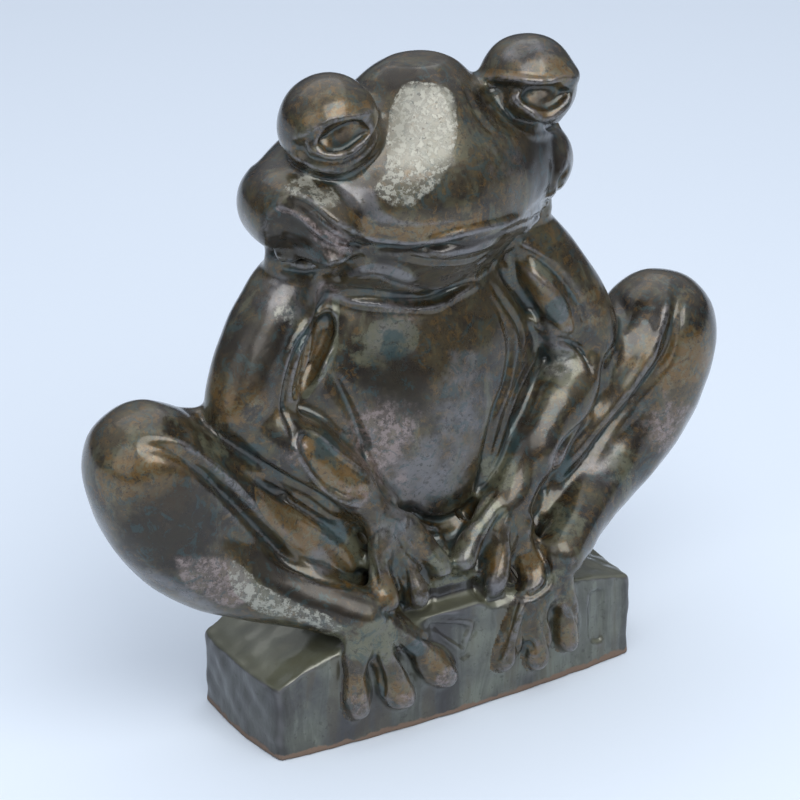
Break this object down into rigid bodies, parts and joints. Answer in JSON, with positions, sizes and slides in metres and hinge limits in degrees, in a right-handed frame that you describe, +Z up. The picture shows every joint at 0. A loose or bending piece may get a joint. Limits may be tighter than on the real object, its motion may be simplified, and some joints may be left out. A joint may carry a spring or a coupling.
{
  "type": "frog figurine",
  "caption": "Glazed pottery frog squatting on a rocky block plinth, with bulging lidded eyes, hands between the knees and splayed toes on the front face.",
  "frame": {"origin": "middle of the plinth's underside, on the surface that it stands on", "axes": "+X to the viewer's right along the plinth, +Y towards the frog's back, +Z up; the frog faces -Y"},
  "size_m": [0.321, 0.0939, 0.3005],
  "materials": {
    "eyeball": "glossy amber-brown glaze",
    "eyelid": "glossy olive-brown glaze",
    "foot": "glossy olive glaze, grey on the toes",
    "forearm": "glossy olive-brown glaze with green-blue pooling",
    "hand": "glossy olive glaze, grey-lilac on the fingertips",
    "head": "glossy olive-brown lustre glaze with a silvery crystalline forehead",
    "lower_jaw": "glossy dark brown glaze, grey-lilac where it breaks over edges",
    "plinth": "grey-green glaze over brown clay, streaked sides and a bare clay rim",
    "plinth_floor": "bare fired orange-brown clay",
    "shin": "glossy olive-brown glaze with silvery mottling",
    "thigh": "glossy olive-brown glaze",
    "torso": "glossy olive-brown lustre glaze with pale mottling on the belly",
    "upper_arm": "glossy olive-brown lustre glaze"
  },
  "bodies": {
    "root": {"head": "head", "left_eyeball": "eyeball", "left_foot": "foot", "left_forearm": "forearm", "left_hand": "hand", "left_lower_eyelid": "eyelid", "left_shin": "shin", "left_thigh": "thigh", "left_upper_arm": "upper_arm", "left_upper_eyelid": "eyelid", "lower_jaw": "lower_jaw", "plinth": "plinth", "plinth_floor": "plinth_floor", "right_eyeball": "eyeball", "right_foot": "foot", "right_forearm": "forearm", "right_hand": "hand", "right_lower_eyelid": "eyelid", "right_shin": "shin", "right_thigh": "thigh", "right_upper_arm": "upper_arm", "right_upper_eyelid": "eyelid", "torso": "torso"}
  },
  "joints": []
}
